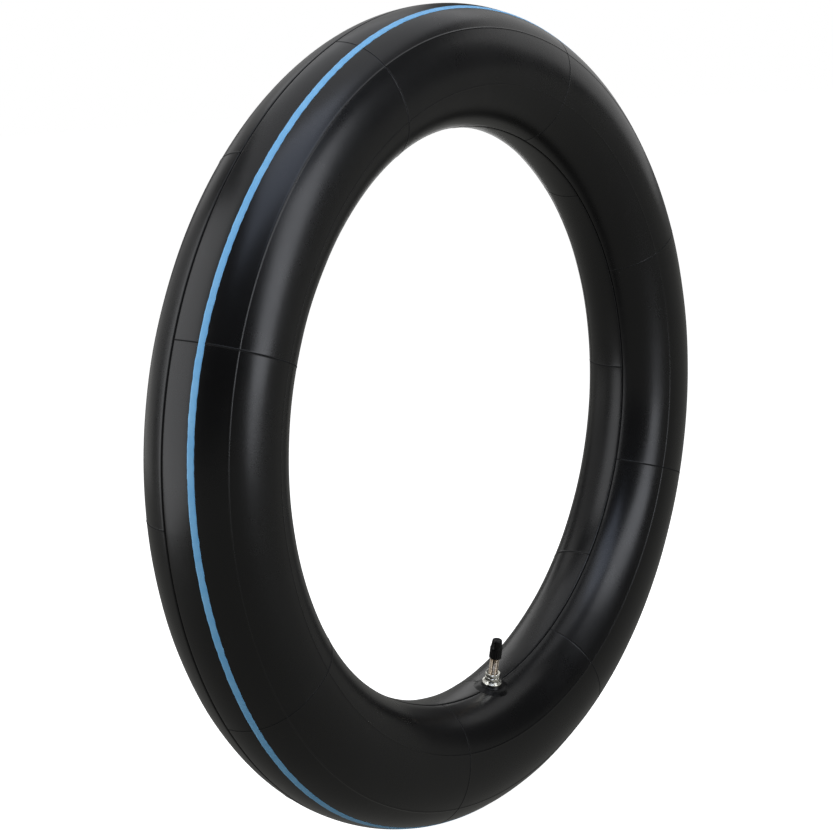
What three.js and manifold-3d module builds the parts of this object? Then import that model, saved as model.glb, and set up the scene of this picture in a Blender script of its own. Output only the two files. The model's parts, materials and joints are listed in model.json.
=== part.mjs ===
// Inner tube for a 19 inch motorcycle wheel, with its straight metal valve.
// Millimetres. The wheel's centre is the origin, the ring turns about +Y, and the valve stands at
// the bottom of the ring and points up into its hole.

import * as THREE from "three";
import { mergeVertices } from "three/addons/utils/BufferGeometryUtils.js";
import Module from "manifold-3d";

const wasm = await Module();
wasm.setup();

// ---- driving dimensions -------------------------------------------------------------------

const outerDiameter = 650;
const sectionHeight = 95.8; // across the tube, along the wheel's radius
const sectionWidth = 89.2; // across the tube, along the wheel's axle
const sectionPower = 0.95; // 1 is an ellipse, less is a little squarer
const sectionSwell = 0.033; // the tube is this much fatter at the valve and thinner opposite it
const wall = 1.8;
const gap = 0.3; // between pieces that touch

const ringSteps = 72;
const sectionSteps = 20;
const chamberSteps = 16;
const valveSteps = 32;

const stripeAngle = -28; // round the section, from the tread line towards -Y
const stripeWidth = 5.2;
const stripeThickness = 0.3;

const valveOffset = 11.4; // how far round the section the valve stands from the inmost line
const airHoleRadius = 2.5;
const padRadius = 16;
const padThickness = 1.9;
const padBossRadius = 7.4;
const padBossTop = 3.4;

// Heights along the valve's axis start at the tube's surface.
const stemRadius = 3.85; // 8V1-32 thread
const stemBottom = 1;
const stemTop = 34.4;
const stemFootRadius = 6.2;
const stemFootTop = 2.2;
const boreRadius = 2.65; // takes the 5V1-36 core
const lowBoreRadius = 2.15;
const boreShoulder = stemTop - 17.6;

const washerBottom = padBossTop + gap;
const washerHeight = 2.8;
const washerRadius = 8.25;
const washerTopRadius = 6.05;
const nutFlats = 12;
const nutHeight = 3.2;
const nutChamfer = 0.55;
const nutCorner = 23; // where the first corner stands round the valve, from +X
const rimNutBottom = washerBottom + washerHeight + gap;
const lockNutBottom = rimNutBottom + nutHeight + gap;

const capBottom = 27.4;
const capHeight = 16.6;
const capSkirtRadius = 5.2; // the wide lower part
const capSkirtHeight = 9.2;
const capShoulder = 1.4; // height of the slope between the skirt and the head
const capHeadRadius = 4.6;
const capTopRadius = 4.1;
const capEdge = 0.7; // rounding of the cap's top edge
const capRoof = 1.6;
const capSealHeight = 1;
const capNeckRadius = 2.9; // hollow above the seal, which the core can rise into

const barrelBottom = stemTop - 17.5;
const barrelFloor = barrelBottom + 3; // the spring stands on it
const barrelRadius = 2.25;
const barrelNoseRadius = 1.5; // below the gasket's step
const barrelNoseHeight = 2.6;
const barrelChamberRadius = 1.6;
const barrelNeckRadius = 1.25;
const barrelHeadRadius = 1.58; // the peened end that holds the swivel
const barrelHole = 0.8;
const gasketInner = 1.8;
const gasketOuter = 2.4;
const swivelBottom = stemTop - 6.2;
const swivelTop = stemTop - 0.9;
const swivelRadius = 2.35;
const swivelHole = 1.55;
const swivelMouth = 1.9;
const keySlotWidth = 1.6;
const keySlotDepth = 1.2;
const pinRadius = 0.5;
const pinFootRadius = 0.75;
const pinTop = stemTop - 0.3;
const pinBottom = stemTop - 20.5;
const springTurns = 6;
const springRadius = 1.12;
const springWire = 0.13;
const springSeatRadius = 1.28;
const springSeatHeight = 0.5;
const cupRadius = 1.8;
const cupFloorRadius = 1.3;
const cupWall = 0.2;
const cupHeight = 2;

const coreSteps = 24;
const pinSteps = 16;

// ---- materials ----------------------------------------------------------------------------

function material(color, roughness, metalness) {
  return new THREE.MeshStandardMaterial({ color, roughness, metalness });
}

// ---- helpers ------------------------------------------------------------------------------

// The centre circle of the tube.
const centreRadius = (outerDiameter - sectionHeight) / 2;

function radians(degrees) {
  return THREE.MathUtils.degToRad(degrees);
}

function rounded(value) {
  return Math.sign(value) * Math.abs(value) ** sectionPower;
}

// A point of the tube's section, as (radius, y), at an angle from the tread line and a height
// above the outer surface.
function sectionPoint(angle, above = 0) {
  const radial = (sectionHeight / 2 + above) * rounded(Math.cos(angle));
  const axial = (sectionWidth / 2 + above) * rounded(Math.sin(angle));
  return new THREE.Vector2(centreRadius + radial, axial);
}

// Swells a ring that was turned about Y, about its own centre circle.
function swell(geometry) {
  const place = geometry.attributes.position;
  for (let i = 0; i < place.count; i += 1) {
    const [x, y, z] = [place.getX(i), place.getY(i), place.getZ(i)];
    const radius = Math.hypot(x, z);
    const growth = 1 - (sectionSwell * z) / radius;
    const grown = centreRadius + (radius - centreRadius) * growth;
    place.setXYZ(i, (x * grown) / radius, y * growth, (z * grown) / radius);
  }
  return geometry;
}

// The closed ring whose surface lies a height above the tube's outer surface.
function ring(above, steps) {
  const profile = [];
  for (let i = 0; i < steps; i += 1) {
    profile.push(sectionPoint((i / steps) * 2 * Math.PI, above));
  }
  profile.push(profile[0].clone());
  return swell(new THREE.LatheGeometry(profile, ringSteps));
}

// A body turned about +Z from a closed list of [radius, height].
function turned(profile, steps = valveSteps) {
  const points = profile.map(([radius, height]) => new THREE.Vector2(radius, height));
  if (points[0].x > 0) points.push(points[0].clone());
  return new THREE.LatheGeometry(points, steps).rotateX(Math.PI / 2);
}

// A washer, bush or tube turned about +Z.
function bush(inner, outer, bottom, top, steps = valveSteps) {
  return turned([[inner, bottom], [outer, bottom], [outer, top], [inner, top]], steps);
}

function plug(radius, bottom, top, steps = valveSteps) {
  return turned([[0, bottom], [radius, bottom], [radius, top], [0, top]], steps);
}

function solid(geometry) {
  const bare = geometry.clone();
  bare.deleteAttribute("normal");
  bare.deleteAttribute("uv");
  const merged = mergeVertices(bare, 1e-4);
  const vertProperties = new Float32Array(merged.attributes.position.array);
  const triVerts = new Uint32Array(merged.index.array);
  return new wasm.Manifold(new wasm.Mesh({ numProp: 3, vertProperties, triVerts }));
}

function geometryOf(manifold) {
  const mesh = manifold.getMesh();
  const geometry = new THREE.BufferGeometry();
  geometry.setAttribute("position", new THREE.BufferAttribute(mesh.vertProperties, 3));
  geometry.setIndex(new THREE.BufferAttribute(mesh.triVerts, 1));
  geometry.computeVertexNormals();
  return geometry;
}

// ---- where the valve stands ---------------------------------------------------------------

// The valve stands square to the tube's surface, a little round the section from the inmost line.
const valveFoot = sectionPoint(Math.PI + radians(valveOffset));
const footDepth = centreRadius - (centreRadius - valveFoot.x) * (1 + sectionSwell);
const valve = new THREE.Group();
valve.position.set(0, valveFoot.y * (1 + sectionSwell), -footDepth);
valve.rotation.x = radians(valveOffset);
valve.updateMatrix();

// ---- tube ---------------------------------------------------------------------------------

function tubeBody() {
  const airHole = plug(airHoleRadius, -6, 6).applyMatrix4(valve.matrix);
  const shell = solid(ring(0, sectionSteps)).subtract(solid(ring(-wall, chamberSteps)));
  return geometryOf(shell.subtract(solid(airHole)));
}

function colourStripe() {
  const half = stripeWidth / sectionHeight;
  const edges = [radians(stripeAngle) - half, radians(stripeAngle) + half];
  const over = edges.map((angle) => sectionPoint(angle, gap + stripeThickness));
  const under = edges.map((angle) => sectionPoint(angle, gap)).reverse();
  return swell(new THREE.LatheGeometry([...over, ...under, over[0].clone()], ringSteps));
}

// The rubber base is bonded over the tube, and its boss holds the foot of the stem.
function valveBasePad() {
  const disc = solid(plug(padRadius, -8, 8).applyMatrix4(valve.matrix));
  const boss = solid(plug(padBossRadius, -1, padBossTop).applyMatrix4(valve.matrix));
  const stemHole = turned([
    [0, -8],
    [stemFootRadius + gap, -8],
    [stemFootRadius + gap, stemFootTop + gap],
    [stemRadius + gap, stemFootTop + gap],
    [stemRadius + gap, padBossTop + 1],
    [0, padBossTop + 1],
  ]);
  const layer = solid(ring(gap + padThickness, sectionSteps)).intersect(disc);
  const pad = layer.add(boss).subtract(solid(ring(gap, sectionSteps)));
  return geometryOf(pad.subtract(solid(stemHole.applyMatrix4(valve.matrix))));
}

// ---- valve body ---------------------------------------------------------------------------

function valveStem() {
  const lip = 0.4;
  const shoulderSlope = 0.8;
  return turned([
    [lowBoreRadius, stemBottom],
    [stemFootRadius, stemBottom],
    [stemFootRadius, stemFootTop],
    [stemRadius, stemFootTop],
    [stemRadius, stemTop - lip],
    [stemRadius - lip, stemTop],
    [boreRadius + lip, stemTop],
    [boreRadius, stemTop - lip],
    [boreRadius, boreShoulder],
    [lowBoreRadius, boreShoulder - shoulderSlope],
  ]);
}

function rimWasher() {
  const edge = 0.3;
  const rimTop = washerBottom + 1.2;
  const crown = [washerRadius - 1, washerBottom + 2.5];
  const top = washerBottom + washerHeight;
  return turned([
    [stemRadius + gap, washerBottom],
    [washerRadius - edge, washerBottom],
    [washerRadius, washerBottom + edge],
    [washerRadius, rimTop],
    crown,
    [washerTopRadius, top],
    [stemRadius + gap, top],
  ]);
}

// A hexagon nut, chamfered at both ends.
function hexNut(bottom) {
  const corner = nutFlats / Math.sqrt(3);
  const reach = corner + 0.05;
  const outline = new THREE.Shape();
  for (let i = 0; i < 6; i += 1) {
    const angle = radians(60 * i + nutCorner);
    outline[i ? "lineTo" : "moveTo"](corner * Math.cos(angle), corner * Math.sin(angle));
  }
  outline.closePath();
  outline.holes.push(new THREE.Path().absarc(0, 0, stemRadius + gap, 0, 2 * Math.PI, true));
  const prism = new THREE.ExtrudeGeometry(outline, {
    depth: nutHeight,
    bevelEnabled: false,
    curveSegments: valveSteps / 2,
  });
  const envelope = turned([
    [0, 0],
    [nutFlats / 2, 0],
    [reach, nutChamfer],
    [reach, nutHeight - nutChamfer],
    [nutFlats / 2, nutHeight],
    [0, nutHeight],
  ]);
  return geometryOf(solid(prism).intersect(solid(envelope))).translate(0, 0, bottom);
}

function valveCap() {
  const top = capBottom + capHeight;
  const skirtTop = capBottom + capSkirtHeight;
  const step = stemTop + gap + capSealHeight + gap;
  const inner = stemRadius + gap;
  return turned([
    [inner, capBottom],
    [capSkirtRadius, capBottom],
    [capSkirtRadius, skirtTop],
    [capHeadRadius, skirtTop + capShoulder],
    [capTopRadius, top - capEdge],
    [capTopRadius - 0.3 * capEdge, top - 0.3 * capEdge],
    [capTopRadius - capEdge, top],
    [0, top],
    [0, top - capRoof],
    [capNeckRadius, top - capRoof],
    [capNeckRadius, step],
    [inner, step],
  ]);
}

function capSeal() {
  const bottom = stemTop + gap;
  return bush(capNeckRadius + 0.1, stemRadius, bottom, bottom + capSealHeight);
}

// ---- valve core ---------------------------------------------------------------------------

// The threaded head of the core turns freely on the barrel's neck, and a key grips its two ears.
function coreSwivel() {
  const recess = swivelTop - 1.6;
  const head = turned([
    [swivelHole, swivelBottom],
    [swivelRadius, swivelBottom],
    [swivelRadius, swivelTop],
    [swivelMouth, swivelTop],
    [swivelMouth, recess],
    [swivelHole, recess],
  ], coreSteps);
  const slot = new THREE.BoxGeometry(3 * swivelRadius, keySlotWidth, 2 * keySlotDepth);
  return geometryOf(solid(head).subtract(solid(slot.translate(0, 0, swivelTop))));
}

function coreBarrel() {
  const step = barrelBottom + barrelNoseHeight;
  const bodyTop = swivelBottom - gap;
  const headBottom = swivelTop - 1.3;
  const headTop = swivelTop - 0.8;
  const chamberTop = swivelBottom - 0.9;
  const slope = 0.3;
  return turned([
    [barrelHole, barrelBottom],
    [barrelNoseRadius, barrelBottom],
    [barrelNoseRadius, step],
    [barrelRadius, step],
    [barrelRadius, bodyTop],
    [barrelNeckRadius, bodyTop],
    [barrelNeckRadius, headBottom],
    [barrelHeadRadius, headBottom + 0.2],
    [barrelHeadRadius, headTop],
    [barrelHole, headTop],
    [barrelHole, chamberTop],
    [barrelChamberRadius, chamberTop - slope],
    [barrelChamberRadius, barrelFloor],
    [barrelHole, barrelFloor],
  ], coreSteps);
}

function coreGasket() {
  const bottom = barrelBottom + 0.3;
  const widest = barrelBottom + 1.4;
  const top = barrelBottom + 2.2;
  return turned([
    [gasketInner, bottom],
    [gasketInner + 0.25, bottom],
    [gasketOuter, widest],
    [gasketOuter, top],
    [gasketInner, top],
  ], coreSteps);
}

function corePin() {
  const footTop = pinBottom + 0.4;
  const point = 0.3;
  return turned([
    [0, pinBottom],
    [pinFootRadius, pinBottom],
    [pinFootRadius, footTop],
    [pinRadius, footTop],
    [pinRadius, pinTop - point],
    [pinRadius - 0.2, pinTop],
    [0, pinTop],
  ], pinSteps);
}

const springBottom = barrelFloor + gap;
const springTop = swivelBottom - 2.4;

class Helix extends THREE.Curve {
  getPoint(t, target = new THREE.Vector3()) {
    const angle = 2 * Math.PI * springTurns * t;
    const height = THREE.MathUtils.lerp(springBottom + springWire, springTop - springWire, t);
    return target.set(springRadius * Math.cos(angle), springRadius * Math.sin(angle), height);
  }
}

function coreSpring() {
  const wire = new THREE.Shape().absarc(0, 0, springWire, 0, 2 * Math.PI);
  return new THREE.ExtrudeGeometry(wire, {
    steps: springTurns * 12,
    curveSegments: 3,
    extrudePath: new Helix(),
  });
}

function coreSpringSeat() {
  const bottom = springTop + gap;
  return bush(pinRadius + gap, springSeatRadius, bottom, bottom + springSeatHeight, pinSteps);
}

// The cup closes the core's lower end, and its rubber ring seals against the barrel.
const cupTop = barrelBottom - gap;

function coreCup() {
  const bottom = cupTop - cupHeight;
  const floor = bottom + 0.7;
  const rim = cupTop - cupWall;
  return turned([
    [pinRadius + gap, bottom],
    [cupFloorRadius, bottom],
    [cupRadius, bottom + 0.8],
    [cupRadius, rim],
    [cupRadius - cupWall, rim],
    [cupRadius - cupWall, floor],
    [pinRadius + gap, floor],
  ], coreSteps);
}

function coreCupSeal() {
  return bush(pinRadius + gap, cupFloorRadius, cupTop - 1, cupTop, coreSteps);
}

// ---- assembly -----------------------------------------------------------------------------

const rubber = [0x1b1c1f, 0.45, 0];
const nickel = [0xd8d4c8, 0.22, 1];
const brass = [0xb99a5a, 0.35, 1];

const group = new THREE.Group();
group.add(valve);

function addPiece(parent, name, geometry, [color, roughness, metalness]) {
  const mesh = new THREE.Mesh(geometry, material(color, roughness, metalness));
  mesh.name = name;
  parent.add(mesh);
}

addPiece(group, "tube_body", tubeBody(), rubber);
addPiece(group, "colour_stripe", colourStripe(), [0x5f9bd1, 0.5, 0]);
addPiece(group, "valve_base_pad", valveBasePad(), rubber);
addPiece(valve, "valve_stem", valveStem(), nickel);
addPiece(valve, "rim_washer", rimWasher(), nickel);
addPiece(valve, "rim_nut", hexNut(rimNutBottom), nickel);
addPiece(valve, "lock_nut", hexNut(lockNutBottom), nickel);
addPiece(valve, "valve_cap", valveCap(), [0x0c0c0d, 0.4, 0]);
addPiece(valve, "cap_seal", capSeal(), [0x2a2a2c, 0.7, 0]);
addPiece(valve, "core_swivel", coreSwivel(), brass);
addPiece(valve, "core_barrel", coreBarrel(), brass);
addPiece(valve, "core_gasket", coreGasket(), [0xb03028, 0.5, 0]);
addPiece(valve, "core_pin", corePin(), brass);
addPiece(valve, "core_spring", coreSpring(), [0xb8bcc0, 0.3, 1]);
addPiece(valve, "core_spring_seat", coreSpringSeat(), brass);
addPiece(valve, "core_cup", coreCup(), brass);
addPiece(valve, "core_cup_seal", coreCupSeal(), [0x1a1a1a, 0.7, 0]);

export default group;
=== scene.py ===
"""An inner tube for a 19 inch motorcycle wheel, with its straight metal valve.

The wheel's centre is the origin, the ring turns about +Y, and the valve stands at the bottom of the ring
and points up into its hole. Every piece is in metres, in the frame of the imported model.
"""

import json
import math

import bpy
import numpy as np
from mathutils import Euler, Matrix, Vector
from mathutils.bvhtree import BVHTree


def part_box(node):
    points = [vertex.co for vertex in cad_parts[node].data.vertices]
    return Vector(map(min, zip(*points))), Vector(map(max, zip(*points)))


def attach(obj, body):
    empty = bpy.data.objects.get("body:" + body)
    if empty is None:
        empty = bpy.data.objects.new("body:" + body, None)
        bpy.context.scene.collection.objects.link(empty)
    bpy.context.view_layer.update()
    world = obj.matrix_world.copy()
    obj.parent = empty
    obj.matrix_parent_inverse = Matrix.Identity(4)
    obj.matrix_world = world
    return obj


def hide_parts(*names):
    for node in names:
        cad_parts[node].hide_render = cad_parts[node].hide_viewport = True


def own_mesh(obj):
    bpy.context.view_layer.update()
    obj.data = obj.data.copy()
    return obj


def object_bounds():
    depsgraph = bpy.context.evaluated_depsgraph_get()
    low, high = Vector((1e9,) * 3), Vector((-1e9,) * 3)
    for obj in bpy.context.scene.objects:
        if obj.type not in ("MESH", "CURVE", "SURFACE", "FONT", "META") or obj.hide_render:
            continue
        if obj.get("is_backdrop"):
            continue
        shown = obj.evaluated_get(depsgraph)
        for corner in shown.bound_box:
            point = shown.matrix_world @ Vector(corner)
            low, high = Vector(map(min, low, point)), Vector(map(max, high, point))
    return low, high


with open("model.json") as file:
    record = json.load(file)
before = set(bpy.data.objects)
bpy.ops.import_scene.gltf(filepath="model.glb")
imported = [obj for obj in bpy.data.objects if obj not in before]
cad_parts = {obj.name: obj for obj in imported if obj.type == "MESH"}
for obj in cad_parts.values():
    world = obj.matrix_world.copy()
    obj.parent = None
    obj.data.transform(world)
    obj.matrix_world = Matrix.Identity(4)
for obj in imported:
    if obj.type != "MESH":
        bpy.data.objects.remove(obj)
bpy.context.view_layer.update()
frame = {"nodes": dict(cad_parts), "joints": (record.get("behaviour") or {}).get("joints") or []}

MM = 0.001
TURN = 2 * math.pi

# ---- sizes of the tube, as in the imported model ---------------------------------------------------

OUTER_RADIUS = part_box("tube_body")[1].x
SECTION_HEIGHT = 95.8 * MM
SECTION_WIDTH = 89.2 * MM
SECTION_POWER = 0.95
SECTION_SWELL = 0.033
SECTION_RADIUS = (SECTION_HEIGHT + SECTION_WIDTH) / 4
CENTRE_RADIUS = OUTER_RADIUS - SECTION_HEIGHT / 2

# ---- lines on the rubber -------------------------------------------------------------------------

# Angles round the section start at the tread line, and are negative towards -Y.
TREAD_SEAM = 0.0
RIM_SEAM = -168.6
RIBS = [-57.3, 57.3, -108.5, 140.0]
RIB_HEIGHTS = [0.36 * MM, 0.36 * MM, 0.22 * MM, 0.26 * MM]
SEAM_DEPTH = 1.3 * MM
SEAM_HALF_WIDTH = 0.5 * MM
RIB_HALF_WIDTH = 0.5 * MM
VENT_HALF_WIDTH = 0.5 * MM
VENT_HEIGHT = 0.19 * MM
# A vent line gets this share of a seam's painted shade.
VENT_PAINTED_SHADE = 0.5

# Angles round the ring, in degrees. The valve stands at the lowest point.
VALVE_PLACE = 270.0

# Eight vent lines cross each half of the mould. They are half a step apart on the two halves.
VENT_COUNT = 8
VENT_STEP = 360 / VENT_COUNT
LATE_VENTS = (6, 7)
NEAR_VENTS = [VALVE_PLACE + VENT_STEP * (i + 0.5) + (5 if i in LATE_VENTS else 1) for i in range(VENT_COUNT)]
FAR_VENTS = [VALVE_PLACE + VENT_STEP * i for i in range(VENT_COUNT)]

UNEVEN_SEED = 7
UNEVEN_WAVES = 14
UNEVEN_HEIGHT = 0.42 * MM

STRIPE_ANGLE = -27.3
STRIPE_WIDTH = 4.7 * MM
STRIPE_HEIGHT = 0.25 * MM
STRIPE_SEED = 3
STRIPE_EDGE_WAVES = 9
STRIPE_EDGE_HEIGHT = 0.06 * MM

# ---- sizes of the valve: heights along its axis start at the tube's surface ----------------------

nut_joint = next(j for j in frame["joints"] if j["name"] == "rim_nut_turn")
FOOT = Vector(nut_joint["pos_m"])
AXIS = Vector(nut_joint["axis"]).normalized()
SIDE = Vector((1, 0, 0))
ACROSS = AXIS.cross(SIDE)

STEM_RADIUS = 3.85 * MM
STEM_BOTTOM = 1 * MM
STEM_TOP = 34.4 * MM
STEM_FLANGE = 6.2 * MM
BORE_RADIUS = 2.65 * MM
CORE_SEAT_RADIUS = 2.15 * MM
THREAD_PITCH = 0.794 * MM
THREAD_DEPTH = 0.42 * MM
WASHER_RADIUS = 8.25 * MM
WASHER_BOTTOM = 3.7 * MM
WASHER_HEIGHT = 2.8 * MM
NUT_BOTTOMS = {"rim_nut": 6.8 * MM, "lock_nut": 10.3 * MM}
NUT_HEIGHT = 3.2 * MM
NUT_FLATS = 12 * MM
NUT_CORNER = math.radians(23)
CAP_BOTTOM = 27.4 * MM
CAP_TOP = 44 * MM
CAP_SKIRT_RADIUS = 5.2 * MM
CAP_SKIRT_TOP = CAP_BOTTOM + 9.2 * MM
CAP_HEAD_RADIUS = 4.6 * MM
CAP_TOP_RADIUS = 4.1 * MM
CAP_CHAMBER_RADIUS = 2.9 * MM
CAP_RIBS = 18
SPRING_BOTTOM = 20.2 * MM
SPRING_TOP = 25.8 * MM
SPRING_RADIUS = 1.12 * MM
SPRING_WIRE = 0.13 * MM
SPRING_TURNS = 6
PAD_RADIUS = 16 * MM
PAD_THICKNESS = 1.9 * MM
BOSS_RADIUS = 7.4 * MM
BOSS_TOP = 3.4 * MM

# A ray that looks for the tube's surface under the base starts this far above it.
RAY_START = 30 * MM


# ---- mesh helpers --------------------------------------------------------------------------------

def mesh_lists(points, close_rows, close_columns, flip=False):
    """The corners and faces of a grid of points, with its rows and columns closed or open."""
    rows, columns = points.shape[:2]
    index = np.arange(rows * columns).reshape(rows, columns)
    if close_rows:
        index = np.concatenate([index, index[:1]])
    if close_columns:
        index = np.concatenate([index, index[:, :1]], axis=1)
    around = [index[:-1, :-1], index[:-1, 1:], index[1:, 1:], index[1:, :-1]]
    faces = np.stack(around, axis=-1).reshape(-1, 4)
    if flip:
        faces = faces[:, ::-1]
    return points.reshape(-1, 3).tolist(), faces.tolist()


def grid_piece(name, points, close_rows=True, close_columns=True, flip=False):
    """A mesh from an array of points, rows by columns by 3."""
    corners, faces = mesh_lists(points, close_rows, close_columns, flip)
    mesh = bpy.data.meshes.new(name)
    mesh.from_pydata(corners, [], faces)
    piece = bpy.data.objects.new(name, mesh)
    bpy.context.scene.collection.objects.link(piece)
    return piece


def smooth(piece, angle):
    """Shades a piece smooth, apart from its edges that are sharper than the angle."""
    piece.data.shade_smooth()
    piece.data.set_sharp_from_angle(angle=math.radians(angle))


def on_valve(radius, height, angle):
    """Points round the valve's axis, from arrays of radius, height and angle."""
    radius, height, angle = np.broadcast_arrays(radius, height, angle)
    across = radius[..., None] * (np.cos(angle)[..., None] * SIDE + np.sin(angle)[..., None] * ACROSS)
    return np.array(FOOT) + height[..., None] * np.array(AXIS) + across


def turned(name, rows, columns):
    """A solid turned round the valve's axis. A row is a radius and a height, each a number or an array."""
    angle = np.linspace(0, TURN, columns, endpoint=False)
    points = np.stack([on_valve(radius, height, angle) for radius, height in rows])
    return grid_piece(name, points, flip=True)


def rounded_corner(start, corner, end, steps=4):
    """Points of a curve that leaves start towards corner and arrives at end."""
    start, corner, end = (np.array(p) for p in (start, corner, end))
    share = np.linspace(0, 1, steps + 1)[:, None]
    curve = (1 - share) ** 2 * start + 2 * share * (1 - share) * corner + share**2 * end
    return [tuple(p) for p in curve]


# ---- tube ----------------------------------------------------------------------------------------

def rounded(value):
    """A sine or cosine, bent so that the section is a little fuller than an ellipse."""
    return np.sign(value) * np.abs(value) ** SECTION_POWER


def apart(angle, mark):
    """How far each angle is from a mark, in degrees, the short way round."""
    return (np.degrees(angle) - mark + 180) % 360 - 180


def ridge(distance, half_width):
    """1 along the middle of a line, falling smoothly to 0 on both sides."""
    return np.exp(-((distance / half_width) ** 2))


def seam_share(section):
    """1 in the bottom of a seam and 0 away from it."""
    reach = [np.radians(apart(section, seam)) * SECTION_RADIUS for seam in (TREAD_SEAM, RIM_SEAM)]
    return sum(ridge(r, SEAM_HALF_WIDTH) for r in reach)


def unevenness(ring, section):
    """The gentle waves of blown rubber."""
    draw = np.random.default_rng(UNEVEN_SEED)
    wave = np.zeros(np.broadcast_shapes(np.shape(ring), np.shape(section)))
    for _ in range(UNEVEN_WAVES):
        along, around = draw.integers(3, 34), draw.integers(-4, 5)
        phase, size = draw.uniform(0, TURN), draw.uniform(0.3, 1)
        wave += size * np.sin(along * ring + around * section + phase) / along
    return wave * UNEVEN_HEIGHT


def vent_share(ring, section):
    """1 along the middle of a vent line and 0 away from it."""
    round_section = apart(section, TREAD_SEAM)
    near = (round_section < 0) & (round_section > RIM_SEAM)
    radius = CENTRE_RADIUS + SECTION_RADIUS * np.cos(section)
    share = np.zeros(np.broadcast_shapes(np.shape(ring), np.shape(section)))
    for vents, side in ((NEAR_VENTS, near), (FAR_VENTS, ~near)):
        for vent in vents:
            reach = np.radians(apart(ring, vent)) * radius
            share = share + ridge(reach, VENT_HALF_WIDTH) * side
    return share


def relief(ring, section):
    """How far the seams, ribs and vent lines stand above the plain rubber."""
    height = VENT_HEIGHT * vent_share(ring, section) - SEAM_DEPTH * seam_share(section)
    for rib, rise in zip(RIBS, RIB_HEIGHTS):
        reach = np.radians(apart(section, rib)) * SECTION_RADIUS
        height = height + rise * ridge(reach, RIB_HALF_WIDTH)
    return height


def tube_surface(ring, section, above=0.0, lines=True):
    """Points on the tube, from the angle round the ring, the angle round the section and a height."""
    ring, section = np.broadcast_arrays(ring, section)
    above = above + unevenness(ring, section)
    if lines:
        above = above + relief(ring, section)
    growth = 1 - SECTION_SWELL * np.sin(ring)
    radius = CENTRE_RADIUS + (SECTION_HEIGHT / 2 + above) * rounded(np.cos(section)) * growth
    y = (SECTION_WIDTH / 2 + above) * rounded(np.sin(section)) * growth
    return np.stack([radius * np.cos(ring), y, radius * np.sin(ring)], axis=-1)


def steps_with_marks(count, marks, half_width):
    """Even steps round a circle, with finer steps across each mark. Marks and the width are in degrees."""
    fine = np.array([-2.6, -1.8, -1.2, -0.8, -0.4, 0, 0.4, 0.8, 1.2, 1.8, 2.6]) * half_width
    clear = 3.2 * half_width
    even = np.arange(count) * 360 / count
    for mark in marks:
        even = even[np.abs((even - mark + 180) % 360 - 180) > clear]
    angles = np.concatenate([even] + [(mark + fine) % 360 for mark in marks])
    return np.radians(np.unique(np.round(angles, 5)))


def tube():
    """The inflated tube, with a mask of painted shade along the seams and the vent lines."""
    vents = sorted(v % 360 for v in NEAR_VENTS + FAR_VENTS)
    ring = steps_with_marks(300, vents, math.degrees(VENT_HALF_WIDTH / CENTRE_RADIUS))
    lines = [TREAD_SEAM, RIM_SEAM, *RIBS]
    section = steps_with_marks(108, lines, math.degrees(RIB_HALF_WIDTH / SECTION_RADIUS))
    points = tube_surface(ring[:, None], section[None, :])
    piece = grid_piece("tube", points)
    # Painted shade: this mask darkens the rubber's colour along the seam grooves and the vent lines.
    painted_line_shade = seam_share(section)[None, :] + VENT_PAINTED_SHADE * vent_share(ring[:, None], section[None, :])
    values = painted_line_shade.astype(np.float32).ravel()
    piece.data.attributes.new("painted_line_shade", "FLOAT", "POINT").data.foreach_set("value", values)
    piece.data.shade_smooth()
    return piece


def stripe():
    """The painted line. It wanders a little round the section, and its edges aren't quite even."""
    ring = np.linspace(0, TURN, 1080, endpoint=False)
    draw = np.random.default_rng(STRIPE_SEED)
    # In degrees round the section.
    wander = 1.5 * np.cos(5 * ring - math.radians(97)) - 0.8 * np.cos(ring * 2 + 0.37)
    middle = np.radians(STRIPE_ANGLE + wander)
    # The points across the stripe, as shares of its half width, and their heights.
    across = np.array([-1.04, -1.0, -0.93, -0.6, -0.2, 0.2, 0.6, 0.93, 1.0, 1.04])
    heights = np.array([-0.5, 0.1, 0.8, 1, 1, 1, 1, 0.8, 0.1, -0.5]) * STRIPE_HEIGHT
    half = []
    for _ in range(2):
        wave = np.zeros(len(ring))
        for _ in range(STRIPE_EDGE_WAVES):
            size, along, phase = draw.uniform(0.3, 1), draw.integers(40, 320), draw.uniform(0, TURN)
            wave += size * np.sin(along * ring + phase)
        half.append(STRIPE_WIDTH / 2 + STRIPE_EDGE_HEIGHT * wave)
    width = np.where(across < 0, half[0][:, None], half[1][:, None])
    section = middle[:, None] + across * width / SECTION_RADIUS
    top = tube_surface(ring[:, None], section, heights)
    under = tube_surface(ring[:, None], section[:, -2:0:-1], -0.6 * STRIPE_HEIGHT)
    return grid_piece("painted_stripe", np.concatenate([top, under], axis=1))


def eased(share):
    """A share held between 0 and 1, that starts and ends gently."""
    share = min(1, max(0, share))
    return share * share * (3 - 2 * share)


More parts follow.
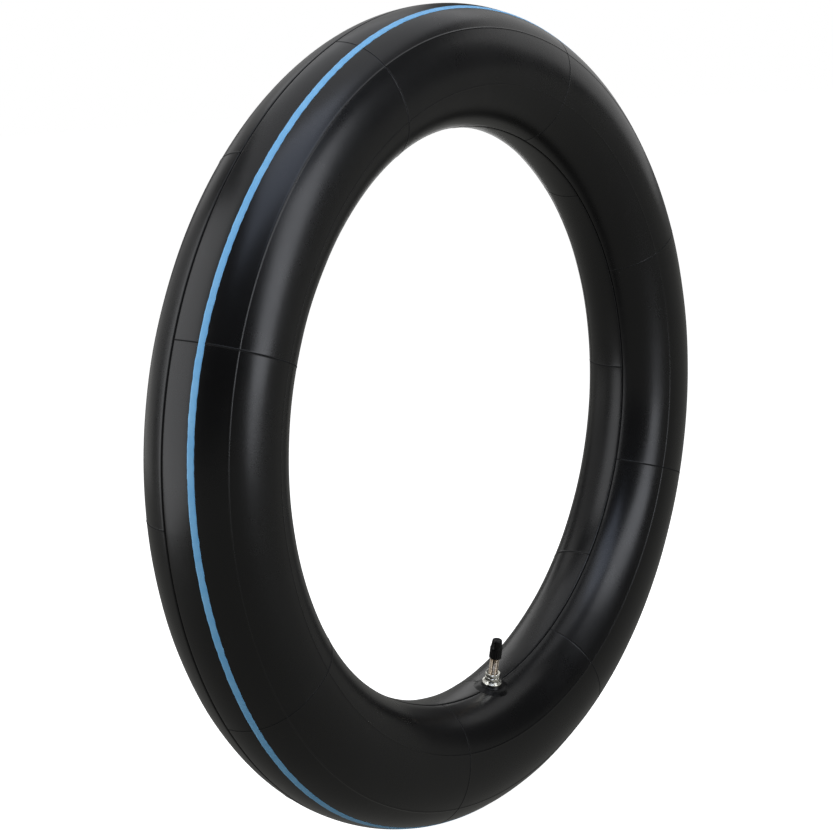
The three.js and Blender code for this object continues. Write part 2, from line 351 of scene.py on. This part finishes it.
def base_pad():
    """The rubber base bonded over the tube, with a feathered edge and a boss round the stem."""
    # The patch of tube that it lies on, in degrees round the ring and round the section.
    ring = np.radians(np.arange(VALVE_PLACE - 8, VALVE_PLACE + 8.1, 0.4))
    section = np.radians(np.arange(-230, -129.9, 2))
    ground_points = tube_surface(ring[:, None], section[None, :], lines=False)
    tree = BVHTree.FromPolygons(*mesh_lists(ground_points, False, False))
    inner = STEM_RADIUS + 0.15 * MM
    boss_edge, boss_fillet = BOSS_RADIUS - 0.3 * MM, 2.2 * MM
    pad_edge, pad_feather = PAD_RADIUS - 0.4 * MM, 6 * MM
    sunk, skirt_depth, bottom_depth = 0.1 * MM, 0.6 * MM, 1.5 * MM
    radii = np.array([
        *np.linspace(inner, BOSS_RADIUS - 0.5 * MM, 5),
        *np.linspace(boss_edge, BOSS_RADIUS + boss_fillet, 12),
        *np.linspace(BOSS_RADIUS + 2.6 * MM, PAD_RADIUS + 0.4 * MM, 16),
    ])
    angles = np.linspace(0, TURN, 96, endpoint=False)
    points = np.zeros((len(radii) + 2, len(angles), 3))
    for column, angle in enumerate(angles):
        out = SIDE * math.cos(angle) + ACROSS * math.sin(angle)
        for row, radius in enumerate(radii):
            start = FOOT + out * float(radius)
            hit = tree.ray_cast(start + AXIS * RAY_START, -AXIS)[0]
            ground = (hit - start).dot(AXIS)
            layer = ground + PAD_THICKNESS * eased((pad_edge - radius) / pad_feather) - sunk
            share = eased((radius - boss_edge) / boss_fillet)
            height = BOSS_TOP * (1 - share) + layer * share
            points[row, column] = start + AXIS * float(height)
        foot = FOOT + out * float(radii[-1])
        deep = (Vector(points[len(radii) - 1, column]) - foot).dot(AXIS) - skirt_depth
        points[len(radii), column] = foot + AXIS * float(deep)
        points[len(radii) + 1, column] = FOOT + out * inner - AXIS * bottom_depth
    return grid_piece("valve_base", points, flip=True)


# ---- valve ---------------------------------------------------------------------------------------

def threaded_stem():
    """The stem, with a real helical thread from its foot to its mouth."""
    columns, rows_a_turn = 48, 9
    angle = np.linspace(0, TURN, columns, endpoint=False)
    lip = 0.4 * MM
    seat_low, seat_high = STEM_TOP - 18.4 * MM, STEM_TOP - 17.6 * MM
    flange_top, thread_end = 2.2 * MM, 2.4 * MM
    root = STEM_RADIUS - THREAD_DEPTH
    rows = [
        (CORE_SEAT_RADIUS, STEM_BOTTOM),
        (CORE_SEAT_RADIUS, seat_low),
        (BORE_RADIUS, seat_high),
        (BORE_RADIUS, STEM_TOP - lip),
        (BORE_RADIUS + lip, STEM_TOP),
        (root - 0.1 * MM, STEM_TOP),
    ]
    for height in np.arange(STEM_TOP - 0.06 * MM, thread_end, -THREAD_PITCH / rows_a_turn):
        phase = (height / THREAD_PITCH - angle / TURN) % 1
        tooth = np.clip(1.25 - 2.9 * np.abs(phase - 0.5), 0, 1)
        entry = min(1, (STEM_TOP - height) / (0.9 * MM))
        rows.append((STEM_RADIUS - THREAD_DEPTH * (1 - tooth * entry), height))
    rows += [(root, flange_top), (STEM_FLANGE, flange_top), (STEM_FLANGE, STEM_BOTTOM)]
    return turned("threaded_stem", rows, columns)


def dished_washer():
    """The washer: a wide rounded rim below, and a raised neck that the nut sits on."""
    low, high = WASHER_BOTTOM, WASHER_BOTTOM + WASHER_HEIGHT
    inner, rim = STEM_RADIUS + 0.3 * MM, WASHER_RADIUS

    def corner(start, middle, end, steps=4):
        """A rounded corner. Its points are millimetres in from the rim and up from the bottom."""
        places = [(rim - inward * MM, low + up * MM) for inward, up in (start, middle, end)]
        return rounded_corner(*places, steps)

    rows = [(inner, low), (rim - 1.2 * MM, low)]
    rows += corner((0.5, 0), (0, 0), (0, 0.55))
    rows += corner((0, 0.75), (0, 1.45), (0.75, 1.55), 6)
    rows += corner((1.1, 1.6), (1.7, 1.7), (1.8, 2.45))
    rows += corner((1.85, 2.6), (1.9, 2.8), (2.15, 2.8), 3)
    rows += [(inner + 0.3 * MM, high), (inner, high - 0.25 * MM)]
    return turned("dished_washer", rows, 96)


def hexagon_nut(name):
    """A nut with six flats, slightly rounded corners, and a conical chamfer at both ends."""
    columns = 144
    angle = np.linspace(0, TURN, columns, endpoint=False)
    bottom, middle = NUT_BOTTOMS[name], NUT_BOTTOMS[name] + NUT_HEIGHT / 2
    fold = (angle - NUT_CORNER) % (TURN / 6) - TURN / 12
    flat = NUT_FLATS / 2
    corner_loss = 0.22 * MM
    sides = np.minimum(flat / np.cos(fold), flat / math.cos(TURN / 12) - corner_loss)
    ring = flat - 0.25 * MM
    bore = STEM_RADIUS + 0.2 * MM
    edge = 0.12 * MM
    chamfer_angle = math.radians(28)
    drop = (sides - ring) * math.tan(chamfer_angle)
    half = NUT_HEIGHT / 2
    upper = [
        (sides, half - drop - 1.6 * edge),
        (sides - 0.25 * edge, half - drop - 0.7 * edge),
        (sides - edge, half - drop - 0.15 * edge),
        (ring + edge, half - 0.4 * edge),
        (ring - edge, half),
        (bore + 0.65 * MM, half),
        (bore + 0.5 * MM, half - 0.1 * MM),
        (bore, half - 0.7 * MM),
    ]
    rows = [(radius, middle + height) for radius, height in upper]
    rows += [(radius, middle - height) for radius, height in reversed(upper)]
    return turned(name + "_hexagon", rows[::-1], columns)


def ribbed_cap():
    """The plastic cap: a skirt with grip ribs, a shoulder, and a tapered head with a dished flat top."""
    columns = 144
    angle = np.linspace(0, TURN, columns, endpoint=False)
    groove = (0.5 + 0.5 * np.cos(CAP_RIBS * angle)) ** 2
    groove_depth, groove_run = 0.34 * MM, 0.7 * MM
    inner = STEM_RADIUS + 0.3 * MM
    skirt, head, top = CAP_SKIRT_RADIUS, CAP_HEAD_RADIUS, CAP_TOP_RADIUS
    grip_low, grip_high = CAP_BOTTOM + 1 * MM, CAP_SKIRT_TOP
    head_low = CAP_SKIRT_TOP + 1.4 * MM
    dish = 0.3 * MM
    centre = 0.02 * MM
    rows = [
        (inner, CAP_BOTTOM),
        (skirt - 0.3 * MM, CAP_BOTTOM),
        (skirt, CAP_BOTTOM + 0.25 * MM),
        (skirt, CAP_BOTTOM + 0.9 * MM),
    ]
    for height in np.linspace(grip_low, grip_high, 12):
        fade = min(1, (height - grip_low) / groove_run, (grip_high - height) / groove_run)
        rows.append((skirt - groove_depth * groove * fade, height))
    rows += rounded_corner(
        (skirt, CAP_SKIRT_TOP + 0.1 * MM),
        (skirt - 0.1 * MM, CAP_SKIRT_TOP + 0.6 * MM),
        (head + 0.2 * MM, head_low - 0.2 * MM),
    )
    rows += [(head, head_low + 0.3 * MM)]
    rows += rounded_corner(
        (top + 0.05 * MM, CAP_TOP - 0.9 * MM),
        (top, CAP_TOP),
        (top - 1.1 * MM, CAP_TOP),
        steps=6,
    )
    rows += [
        (top - 1.6 * MM, CAP_TOP),
        (top - 1.8 * MM, CAP_TOP - 0.25 * MM),
        (centre, CAP_TOP - dish),
    ]
    roof, step = CAP_TOP - 1.6 * MM, STEM_TOP + 1.6 * MM
    rows += [(centre, roof), (CAP_CHAMBER_RADIUS, roof), (CAP_CHAMBER_RADIUS, step), (inner, step)]
    return turned("ribbed_cap", rows, columns)


def coil_spring():
    """The core's spring, of round wire, with its end turns lying closer together."""
    share = np.linspace(0, 1, 40 * SPRING_TURNS)
    turn_angle = TURN * SPRING_TURNS * share
    rise = share - 0.06 * np.sin(TURN * share)
    middle = SPRING_BOTTOM + SPRING_WIRE + (SPRING_TOP - SPRING_BOTTOM - 2 * SPRING_WIRE) * rise
    pinch = 0.02
    wire = np.where((share == 0) | (share == 1), pinch, 1) * SPRING_WIRE
    around = np.linspace(0, TURN, 10, endpoint=False)
    radius = SPRING_RADIUS + wire[:, None] * np.cos(around)
    height = middle[:, None] + wire[:, None] * np.sin(around)
    return grid_piece("coil_spring", on_valve(radius, height, turn_angle[:, None]), close_rows=False)


# ---- materials -----------------------------------------------------------------------------------

def new_material(name, roughness, metallic=0.0, specular=0.5):
    """A material and its Principled shader."""
    material = bpy.data.materials.new(name)
    material.use_nodes = True
    shader = material.node_tree.nodes["Principled BSDF"]
    shader.inputs["Roughness"].default_value = roughness
    shader.inputs["Metallic"].default_value = metallic
    shader.inputs["Specular IOR Level"].default_value = specular
    return material, shader


def noise(material, scale, detail=3.0, stretch=(1, 1, 1), distortion=0.0):
    """A noise texture in the piece's own coordinates, and its value."""
    nodes, links = material.node_tree.nodes, material.node_tree.links
    place = nodes.new("ShaderNodeTexCoord")
    mapping = nodes.new("ShaderNodeMapping")
    mapping.inputs["Scale"].default_value = stretch
    texture = nodes.new("ShaderNodeTexNoise")
    texture.inputs["Scale"].default_value = scale
    texture.inputs["Detail"].default_value = detail
    texture.inputs["Distortion"].default_value = distortion
    links.new(place.outputs["Object"], mapping.inputs["Vector"])
    links.new(mapping.outputs["Vector"], texture.inputs["Vector"])
    return texture.outputs["Fac"]


def remap(material, value, low, high, start=0.35, end=0.65):
    """A value that runs from low to high as the input runs from start to end."""
    node = material.node_tree.nodes.new("ShaderNodeMapRange")
    node.inputs["From Min"].default_value = start
    node.inputs["From Max"].default_value = end
    node.inputs["To Min"].default_value = low
    node.inputs["To Max"].default_value = high
    material.node_tree.links.new(value, node.inputs["Value"])
    return node.outputs["Result"]


def colour_mix(material, share, first, second):
    """The colour from first to second, each a colour or a socket, by a share from 0 to 1."""
    node = material.node_tree.nodes.new("ShaderNodeMix")
    node.data_type = "RGBA"
    material.node_tree.links.new(share, node.inputs["Factor"])
    for socket, colour in ((node.inputs["A"], first), (node.inputs["B"], second)):
        if isinstance(colour, tuple):
            socket.default_value = (*colour, 1)
        else:
            material.node_tree.links.new(colour, socket)
    return node.outputs["Result"]


def combine(material, operation, first, second):
    """A math node's result. Each input is a number or a socket."""
    node = material.node_tree.nodes.new("ShaderNodeMath")
    node.operation = operation
    for socket, value in zip(node.inputs, (first, second)):
        if isinstance(value, float):
            socket.default_value = value
        else:
            material.node_tree.links.new(value, socket)
    return node.outputs["Value"]


def bump(material, shader, height, distance, strength=1.0):
    """Adds a bump to a shader, on top of one that is already there."""
    links = material.node_tree.links
    node = material.node_tree.nodes.new("ShaderNodeBump")
    node.inputs["Strength"].default_value = strength
    node.inputs["Distance"].default_value = distance
    links.new(height, node.inputs["Height"])
    normal = shader.inputs["Normal"]
    if normal.is_linked:
        links.new(normal.links[0].from_socket, node.inputs["Normal"])
    links.new(node.outputs["Normal"], normal)


def tube_rubber():
    """Black butyl rubber with a satin skin, a breath of talc, and painted shade darkening its seams and vent
    lines, which are also rougher.
    """
    material, shader = new_material("tube_rubber", 0.4)
    links = material.node_tree.links
    mottle = remap(material, noise(material, 22, 4), 0, 1, 0.3, 0.7)
    base = colour_mix(material, mottle, (0.002, 0.002, 0.0022), (0.003, 0.003, 0.0033))
    talc = remap(material, noise(material, 60, 4, distortion=0.6), 0, 1, 0.6, 0.85)
    base = colour_mix(material, talc, base, (0.006, 0.006, 0.0063))
    lines = material.node_tree.nodes.new("ShaderNodeAttribute")
    lines.attribute_name = "painted_line_shade"
    # Painted shade: the seams and vent lines are darkened in the base colour, and made rougher.
    painted_line_shade = remap(material, lines.outputs["Fac"], 0, 1, 0.05, 0.45)
    base = colour_mix(material, painted_line_shade, base, (0.0008, 0.0008, 0.0008))
    links.new(base, shader.inputs["Base Color"])
    skin = remap(material, noise(material, 14, 3), 0.25, 0.31, 0.3, 0.7)
    fine = remap(material, noise(material, 260, 4), -0.006, 0.008)
    rough = combine(material, "ADD", skin, fine)
    rough = combine(material, "ADD", rough, combine(material, "MULTIPLY", painted_line_shade, 0.7))
    links.new(rough, shader.inputs["Roughness"])
    bump(material, shader, noise(material, 900, 3), 0.02 * MM, 0.12)
    bump(material, shader, noise(material, 60, 3), 0.3 * MM, 0.2)
    return material


def stripe_paint():
    """Pale blue marking paint, a little thin and streaky along the line."""
    material, shader = new_material("stripe_paint", 0.5)
    links = material.node_tree.links
    streak = remap(material, noise(material, 120, 5), 0, 1, 0.3, 0.7)
    base = colour_mix(material, streak, (0.19, 0.53, 0.9), (0.25, 0.6, 0.95))
    thin = remap(material, noise(material, 420, 4), 0, 0.35, 0.6, 0.8)
    base = colour_mix(material, thin, base, (0.12, 0.36, 0.68))
    links.new(base, shader.inputs["Base Color"])
    links.new(remap(material, noise(material, 200, 3), 0.42, 0.58), shader.inputs["Roughness"])
    bump(material, shader, noise(material, 1500, 3), 0.05 * MM, 0.5)
    return material


def pad_rubber():
    """The base's rubber, rougher than the tube's."""
    material, shader = new_material("pad_rubber", 0.35, specular=0.3)
    links = material.node_tree.links
    mottle = remap(material, noise(material, 300, 5), 0, 1, 0.35, 0.7)
    base = colour_mix(material, mottle, (0.002, 0.002, 0.0022), (0.005, 0.005, 0.0053))
    links.new(base, shader.inputs["Base Color"])
    links.new(remap(material, noise(material, 150, 3), 0.27, 0.34), shader.inputs["Roughness"])
    bump(material, shader, noise(material, 1400, 4), 0.04 * MM, 0.4)
    return material


def plated(name, colour, worn_colour, roughness, wear=0.7):
    """Plated or bare metal with fine turning marks, and patches where it is worn or dull."""
    material, shader = new_material(name, roughness, metallic=1.0)
    links = material.node_tree.links
    worn = remap(material, noise(material, 420, 5, distortion=0.4), 0, 1, wear - 0.12, wear + 0.08)
    links.new(colour_mix(material, worn, colour, worn_colour), shader.inputs["Base Color"])
    dull = remap(material, noise(material, 700, 4), roughness - 0.03, roughness + 0.05)
    links.new(dull, shader.inputs["Roughness"])
    bump(material, shader, noise(material, 2600, 2, stretch=(1, 1, 3)), 0.004 * MM, 0.2)
    return material


def moulded(name, colour, dusty, roughness, specular=0.5):
    """Moulded plastic or rubber with a fine grain and a little dust."""
    material, shader = new_material(name, roughness, specular=specular)
    links = material.node_tree.links
    dust = remap(material, noise(material, 500, 5), 0, 0.6, 0.55, 0.8)
    links.new(colour_mix(material, dust, colour, dusty), shader.inputs["Base Color"])
    grain = remap(material, noise(material, 900, 3), roughness - 0.06, roughness + 0.1)
    links.new(grain, shader.inputs["Roughness"])
    bump(material, shader, noise(material, 3200, 3), 0.04 * MM, 0.5)
    return material


# ---- pieces on their bodies ----------------------------------------------------------------------

def finish_piece(piece, body, slot, material, *nodes):
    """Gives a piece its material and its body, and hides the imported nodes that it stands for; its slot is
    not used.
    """
    piece.data.materials.append(material)
    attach(piece, body)
    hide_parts(*nodes)


nickel = plated("nickel", (0.99, 0.98, 0.91), (0.8, 0.77, 0.62), 0.13)
stem_nickel = plated("stem_nickel", (0.68, 0.6, 0.5), (0.5, 0.38, 0.26), 0.12, 0.6)

tube_piece = tube()
finish_piece(tube_piece, "tube", "tube_rubber", tube_rubber(), "tube_body")

stripe_piece = stripe()
stripe_piece.data.shade_smooth()
finish_piece(stripe_piece, "tube", "stripe_paint", stripe_paint(), "colour_stripe")

pad_piece = base_pad()
smooth(pad_piece, 50)
finish_piece(pad_piece, "tube", "tube_rubber", pad_rubber(), "valve_base_pad")

stem_piece = threaded_stem()
smooth(stem_piece, 40)
finish_piece(stem_piece, "tube", "nickel", stem_nickel, "valve_stem")

washer_piece = dished_washer()
smooth(washer_piece, 50)
finish_piece(washer_piece, "washer", "nickel", nickel, "rim_washer")

for nut in NUT_BOTTOMS:
    nut_piece = hexagon_nut(nut)
    smooth(nut_piece, 30)
    finish_piece(nut_piece, nut, "nickel", nickel, nut)

cap_plastic = moulded("cap_plastic", (0.0018, 0.0018, 0.002), (0.005, 0.005, 0.005), 0.28, 0.32)
cap_piece = ribbed_cap()
smooth(cap_piece, 50)
finish_piece(cap_piece, "cap", "cap_plastic", cap_plastic, "valve_cap")

spring_piece = coil_spring()
spring_piece.data.shade_smooth()
spring_steel = plated("spring_steel", (0.55, 0.56, 0.58), (0.35, 0.33, 0.3), 0.28)
finish_piece(spring_piece, "core", "spring_steel", spring_steel, "core_spring")
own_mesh(spring_piece)

# The other pieces inside the valve keep their CAD shape.
INNER = {
    "cap_seal": moulded("cap_seal_rubber", (0.012, 0.012, 0.013), (0.03, 0.03, 0.03), 0.6),
    "core_cup_seal": moulded("cup_seal_rubber", (0.01, 0.01, 0.011), (0.03, 0.03, 0.03), 0.6),
    "core_gasket": moulded("gasket_plastic", (0.35, 0.02, 0.012), (0.3, 0.08, 0.05), 0.45),
}
brass = plated("brass", (0.72, 0.53, 0.25), (0.45, 0.3, 0.14), 0.3)
for name in ("core_swivel", "core_barrel", "core_pin", "core_spring_seat", "core_cup", *INNER):
    node = frame["nodes"][name]
    node.data.materials.clear()
    node.data.materials.append(INNER.get(name, brass))
    smooth(node, 40)


# ---- floor, light and camera ---------------------------------------------------------------------

FLOOR_REACH = 30.0
FLOOR_LIGHT = (0.21, 0.21, 0.2, 1)

SENSOR_WIDTH = 36
CAMERA_LENS = 60.95
CAMERA_AIM = Vector((-0.0248, 0.0326, 0.0051))
CAMERA_AZIMUTH = -51.107
CAMERA_ELEVATION = 13.091
CAMERA_DISTANCE = 1.1364
CAMERA_ROLL = -3.542


def direction(azimuth, elevation):
    """The way from the origin, at azimuth 0 towards -Y and at 90 towards +X."""
    a, e = math.radians(azimuth), math.radians(elevation)
    return Vector((math.sin(a) * math.cos(e), -math.cos(a) * math.cos(e), math.sin(e)))


def facing(way, roll):
    """The turn of a light or camera that stands out along a way and looks back, rolled by degrees."""
    return way.to_track_quat("Z", "Y") @ Euler((0, 0, math.radians(roll))).to_quaternion()


def white_unless_lighting(tree, output, lit, seen):
    """Joins a shader that the camera sees and one that lights the object."""
    path = tree.nodes.new("ShaderNodeLightPath")
    mix = tree.nodes.new("ShaderNodeMixShader")
    tree.links.new(path.outputs["Is Camera Ray"], mix.inputs["Fac"])
    tree.links.new(lit.outputs[0], mix.inputs[1])
    tree.links.new(seen.outputs[0], mix.inputs[2])
    tree.links.new(mix.outputs["Shader"], output.inputs["Surface"])


def studio_world(ambient):
    """A white surround that lights the object only a little."""
    world = bpy.data.worlds.new("studio")
    world.use_nodes = True
    bpy.context.scene.world = world
    tree = world.node_tree
    lit = tree.nodes["Background"]
    lit.inputs["Color"].default_value = (ambient, ambient, ambient, 1)
    seen = tree.nodes.new("ShaderNodeBackground")
    seen.inputs["Color"].default_value = (1, 1, 1, 1)
    white_unless_lighting(tree, tree.nodes["World Output"], lit, seen)


def pale_floor(glow):
    """A white floor. Its own glow hides its far edge, and it throws back an even light."""
    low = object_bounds()[0].z
    sides = (-FLOOR_REACH, FLOOR_REACH)
    corners = np.array([[(x, y, low) for x in sides] for y in sides])
    floor = grid_piece("floor", corners, close_rows=False, close_columns=False)
    material = bpy.data.materials.new("floor_paper")
    material.use_nodes = True
    tree = material.node_tree
    paper = tree.nodes["Principled BSDF"]
    paper.inputs["Base Color"].default_value = (0.8, 0.8, 0.8, 1)
    paper.inputs["Roughness"].default_value = 0.9
    paper.inputs["Emission Color"].default_value = (1, 1, 1, 1)
    paper.inputs["Emission Strength"].default_value = glow
    lit = tree.nodes.new("ShaderNodeEmission")
    lit.inputs["Color"].default_value = FLOOR_LIGHT
    white_unless_lighting(tree, tree.nodes["Material Output"], lit, paper)
    floor.data.materials.append(material)
    floor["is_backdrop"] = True


def softbox(name, azimuth, elevation, width, height, brightness, *, roll=0, distance=1.0, cool=0):
    """A soft panel that faces the origin. Cool takes its colour a share of the way to blue."""
    light = bpy.data.lights.new(name, "AREA")
    light.color = (1 - cool, 1 - 0.7 * cool, 1)
    light.shape = "RECTANGLE"
    light.size, light.size_y = width, height
    light.energy = brightness * math.pi * width * height
    lamp = bpy.data.objects.new(name, light)
    way = direction(azimuth, elevation)
    lamp.location = way * distance
    lamp.rotation_mode = "QUATERNION"
    lamp.rotation_quaternion = facing(way, roll)
    lamp.visible_camera = False
    bpy.context.scene.collection.objects.link(lamp)


def camera():
    """Looks at the ring a little from above, from the -X and -Y side."""
    data = bpy.data.cameras.new("camera")
    data.sensor_width = SENSOR_WIDTH
    data.lens = CAMERA_LENS
    eye = bpy.data.objects.new("camera", data)
    back = direction(CAMERA_AZIMUTH, CAMERA_ELEVATION)
    eye.location = CAMERA_AIM + back * CAMERA_DISTANCE
    eye.rotation_mode = "QUATERNION"
    eye.rotation_quaternion = facing(back, CAMERA_ROLL)
    bpy.context.scene.collection.objects.link(eye)
    bpy.context.scene.camera = eye


studio_world(ambient=0.06)
pale_floor(glow=1.0)

# Each panel has its azimuth and elevation in degrees, its width and height in metres, and its brightness.
softbox("left_softbox", -110, 20, 0.72, 1.13, 1.65, roll=12, distance=0.91, cool=0.04)
softbox("right_softbox", 6, 16, 0.39, 0.7, 3.04, roll=7, distance=0.85, cool=0.1)
softbox("front_top_softbox", -30, 55, 0.65, 0.48, 1.8, cool=0.3)
softbox("top_softbox", 130, 85, 1.2, 1.3, 0.8, cool=0.05)
softbox("back_right_panel", 86, 32, 0.81, 0.78, 0.6, roll=19)
softbox("back_left_panel", 155, 38, 1.3, 0.9, 0.41, distance=1.48)
softbox("side_left_panel", -165, 15, 0.8, 0.9, 0.33)
softbox("back_low_panel", 135, 7, 0.7, 0.4, 0.95)
camera()
bpy.context.scene.view_settings.view_transform = "Standard"
